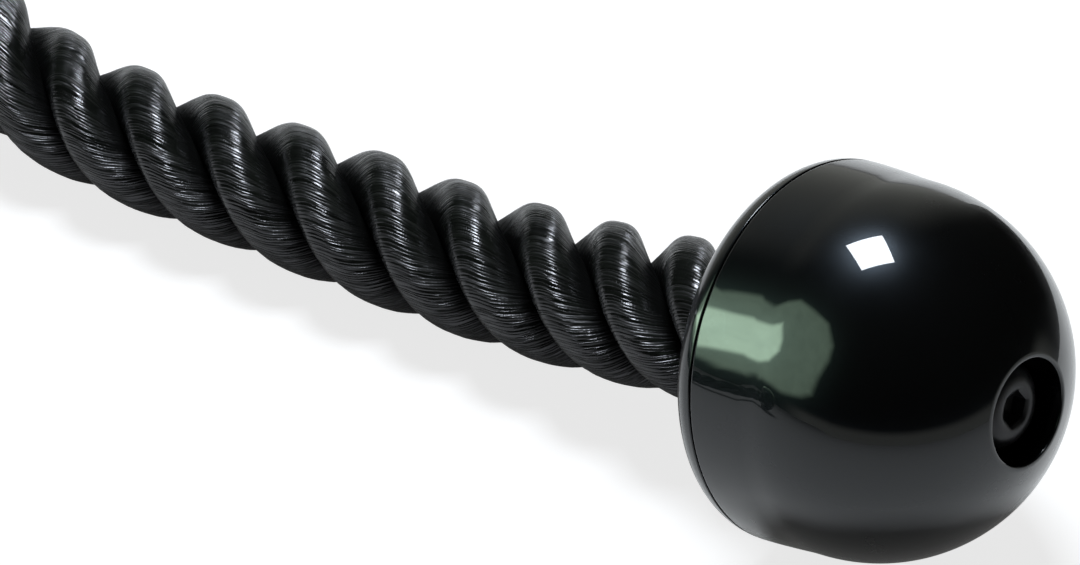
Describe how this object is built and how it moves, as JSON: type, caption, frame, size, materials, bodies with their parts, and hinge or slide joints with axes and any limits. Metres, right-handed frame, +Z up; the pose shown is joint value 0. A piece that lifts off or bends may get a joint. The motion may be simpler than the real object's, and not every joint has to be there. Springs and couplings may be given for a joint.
{
  "type": "triceps rope attachment",
  "caption": "Thick twisted rope folded through a steel sleeve with a swivel eye, each arm ending in a bolted stopper ball, for cable press-downs.",
  "frame": {"origin": "middle of the footprint at floor level, with the part lying as a V", "axes": "+Z up; +Y from the ball ends towards the swivel eye; +X to the right arm"},
  "size_m": [0.4686, 0.4038, 0.0775],
  "materials": {
    "rope": "black twisted synthetic rope, three strands, right-hand lay",
    "gloss_plastic": "polished black moulded plastic",
    "chrome_steel": "polished chrome plating",
    "black_steel": "black oxide or satin black coat",
    "zinc_steel": "zinc-plated steel",
    "bronze": "sintered bronze"
  },
  "bodies": {
    "saddle": {"saddle_tube": "chrome_steel", "rope_bend": "rope", "cross_bolt": "zinc_steel", "cross_nut": "zinc_steel", "cross_washer_bottom": "zinc_steel", "cross_washer_top": "zinc_steel", "rope_root_right": "rope", "rope_root_left": "rope"},
    "yoke": {"yoke_strap": "black_steel", "swivel_bush": "bronze"},
    "eye": {"swivel_eye": "chrome_steel", "swivel_washer": "zinc_steel", "swivel_nut": "zinc_steel"},
    "arm_right": {"rope_arm_right": "rope", "rope_tail_right": "rope", "rope_ferrule_right": "black_steel", "core_insert_right": "zinc_steel", "ball_shell_right": "gloss_plastic", "ball_back_cover_right": "gloss_plastic", "end_washer_right": "black_steel", "end_bolt_right": "black_steel"},
    "arm_left": {"rope_arm_left": "rope", "rope_tail_left": "rope", "rope_ferrule_left": "black_steel", "core_insert_left": "zinc_steel", "ball_shell_left": "gloss_plastic", "ball_back_cover_left": "gloss_plastic", "end_washer_left": "black_steel", "end_bolt_left": "black_steel"}
  },
  "joints": [
    {"name": "yoke_swing", "type": "hinge", "parent": "saddle", "child": "yoke", "pos_m": [0, 0.10282, 0.03178], "axis": [0, 0, 1], "range_deg": [-20, 20]},
    {"name": "eye_spin", "type": "hinge", "parent": "yoke", "child": "eye", "pos_m": [0, 0.10282, 0.03178], "axis": [0, 1, 0], "continuous": true},
    {"name": "arm_splay_right", "type": "hinge", "parent": "saddle", "child": "arm_right", "pos_m": [0.06052, 0.04298, 0.02809], "axis": [0, 0, 1], "range_deg": [-36, 45], "stiffness_Nm_per_rad": 0.4, "deforming": ["rope_root_right"]},
    {"name": "arm_splay_left", "type": "hinge", "parent": "saddle", "child": "arm_left", "pos_m": [-0.06052, 0.04298, 0.02809], "axis": [0, 0, -1], "range_deg": [-36, 45], "stiffness_Nm_per_rad": 0.4, "deforming": ["rope_root_left"]}
  ]
}
